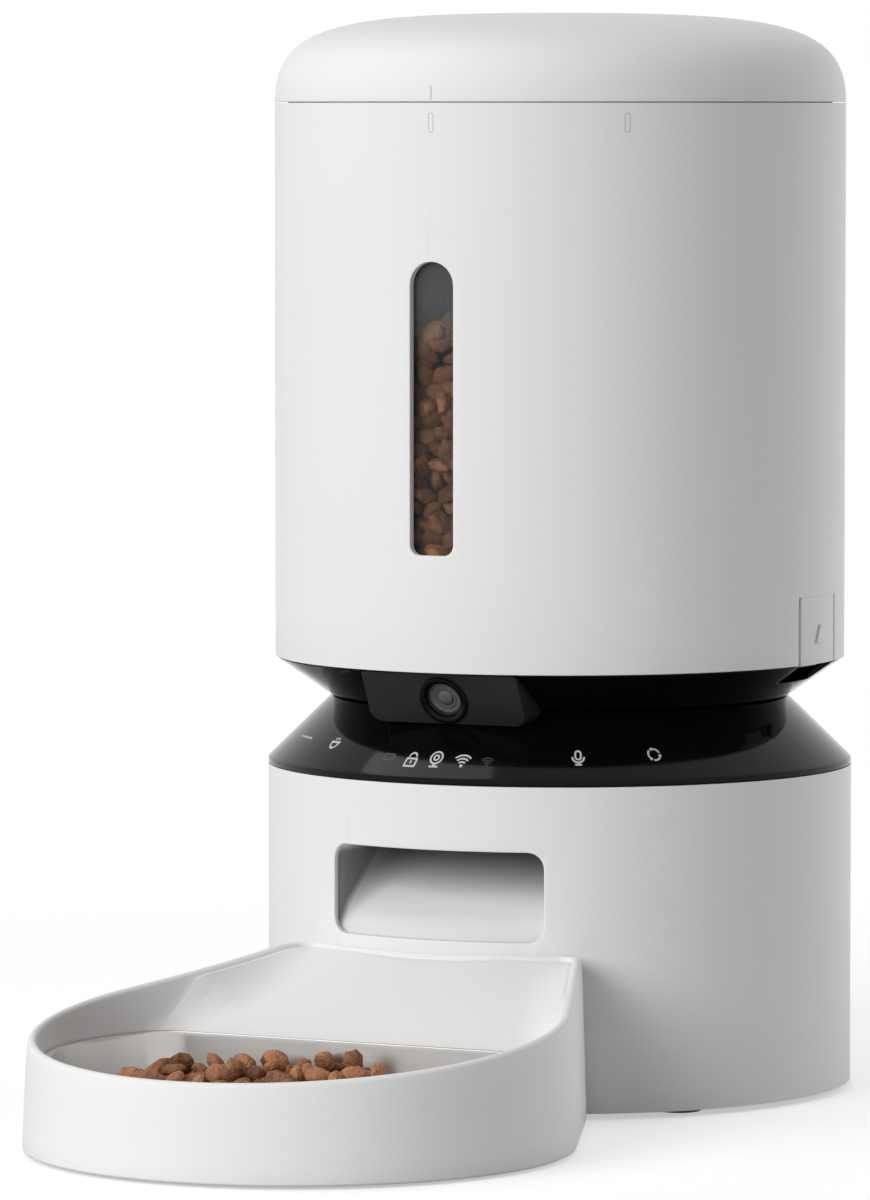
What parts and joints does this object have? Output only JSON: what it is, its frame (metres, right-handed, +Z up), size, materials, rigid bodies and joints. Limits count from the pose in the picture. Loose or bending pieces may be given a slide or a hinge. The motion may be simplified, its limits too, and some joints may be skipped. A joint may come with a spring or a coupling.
{
  "type": "pet feeder",
  "caption": "Round automatic pet feeder: a lidded food tank with a sight window on a waisted base with a camera, and a tray with a steel bowl in front of its chute.",
  "frame": {"origin": "on the standing surface, under the middle of the whole footprint", "axes": "+Z up, +Y from the bowl towards the housing, +X to the right of someone who faces the window"},
  "size_m": [0.2, 0.3796, 0.3667],
  "materials": {
    "white_plastic": "satin moulded",
    "inner_plastic": "fine matt moulded",
    "gloss_black": "high gloss",
    "satin_black": "satin",
    "smoked_pane": "clear tinted",
    "lens_glass": "polished",
    "soft_silicone": "soft matt",
    "foot_rubber": "matt",
    "stainless_steel": "polished brushed",
    "bright_metal": "bright",
    "gear_plastic": "natural",
    "circuit_board": "satin"
  },
  "bodies": {
    "base": {"base_shell": "white_plastic", "base_floor": "inner_plastic", "foot_1": "foot_rubber", "foot_2": "foot_rubber", "foot_3": "foot_rubber", "foot_4": "foot_rubber", "base_screw_1": "bright_metal", "base_screw_2": "bright_metal", "base_screw_3": "bright_metal", "base_screw_4": "bright_metal", "battery_box": "satin_black", "battery_contact_front": "bright_metal", "battery_contact_rear": "bright_metal", "speaker": "satin_black", "main_board": "circuit_board", "power_socket": "satin_black", "food_chute": "inner_plastic", "control_ring": "gloss_black", "tank_cradle": "gloss_black", "indicator_board": "circuit_board", "camera_housing": "satin_black", "camera_bezel": "gloss_black", "camera_barrel": "satin_black", "camera_glass": "lens_glass", "camera_board": "circuit_board", "gear_motor": "bright_metal", "double_gear_axle": "bright_metal", "shaft_bush": "bright_metal", "gear_frame_lower": "inner_plastic", "gear_frame_upper": "inner_plastic"},
    "battery_cover": {"battery_cover": "inner_plastic"},
    "pinion": {"motor_pinion": "gear_plastic"},
    "double_gear": {"double_gear": "gear_plastic"},
    "drive_gear": {"drive_gear": "gear_plastic"},
    "tank": {"tank_shell": "white_plastic", "window_pane": "smoked_pane", "tank_funnel": "inner_plastic", "tank_floor": "inner_plastic", "outlet_plate": "inner_plastic", "rotor_shield": "inner_plastic"},
    "rotor": {"feed_rotor": "soft_silicone"},
    "latch_right": {"latch_right": "white_plastic"},
    "latch_left": {"latch_left": "white_plastic"},
    "seal": {"lid_seal": "soft_silicone"},
    "lid": {"lid_cover": "white_plastic", "lid_liner": "inner_plastic", "desiccant_box": "inner_plastic", "desiccant_cover": "inner_plastic"},
    "tray": {"bowl_tray": "white_plastic", "tray_pad_right": "foot_rubber", "tray_pad_left": "foot_rubber"},
    "bowl": {"steel_bowl": "stainless_steel"}
  },
  "joints": [
    {"name": "tank_lift", "type": "slide", "parent": "base", "child": "tank", "axis": [0, 0, 1], "range_m": [0, 0.08]},
    {"name": "rotor_spin", "type": "hinge", "parent": "tank", "child": "rotor", "pos_m": [0, 0.0898, 0.1225], "axis": [0, 0, 1], "continuous": true},
    {"name": "drive_spin", "type": "hinge", "parent": "base", "child": "drive_gear", "pos_m": [0, 0.0898, 0.0898], "axis": [0, 0, 1], "continuous": true},
    {"name": "double_gear_spin", "type": "hinge", "parent": "base", "child": "double_gear", "pos_m": [0, 0.1153, 0.086], "axis": [0, 0, 1], "continuous": true},
    {"name": "pinion_spin", "type": "hinge", "parent": "base", "child": "pinion", "pos_m": [0, 0.1408, 0.083], "axis": [0, 0, 1], "continuous": true},
    {"name": "latch_right_press", "type": "hinge", "parent": "tank", "child": "latch_right", "pos_m": [0.0963, 0.0898, 0.1701], "axis": [0, 1, 0], "range_deg": [0, 4], "stiffness_Nm_per_rad": 0.2},
    {"name": "latch_left_press", "type": "hinge", "parent": "tank", "child": "latch_left", "pos_m": [-0.0963, 0.0898, 0.1701], "axis": [0, -1, 0], "range_deg": [0, 4], "stiffness_Nm_per_rad": 0.2},
    {"name": "lid_lift", "type": "slide", "parent": "tank", "child": "seal", "axis": [0, 0, 1], "range_m": [0, 0.06]},
    {"name": "lid_turn", "type": "hinge", "parent": "seal", "child": "lid", "pos_m": [0, 0.0898, 0.3365], "axis": [0, 0, 1], "range_deg": [0, 39.1]},
    {"name": "battery_cover_swing", "type": "hinge", "parent": "base", "child": "battery_cover", "pos_m": [0, 0.137, 0.0031], "axis": [1, 0, 0], "range_deg": [0, 95]},
    {"name": "tray_pull", "type": "slide", "parent": "base", "child": "tray", "axis": [0, -1, 0], "range_m": [0, 0.05]},
    {"name": "bowl_lift", "type": "slide", "parent": "tray", "child": "bowl", "axis": [0, 0, 1], "range_m": [0, 0.05]}
  ],
  "couplings": [
    {"joint": "drive_spin", "follows": "rotor_spin", "ratio": 1},
    {"joint": "double_gear_spin", "follows": "rotor_spin", "ratio": -2.7778},
    {"joint": "pinion_spin", "follows": "rotor_spin", "ratio": 7.716}
  ]
}
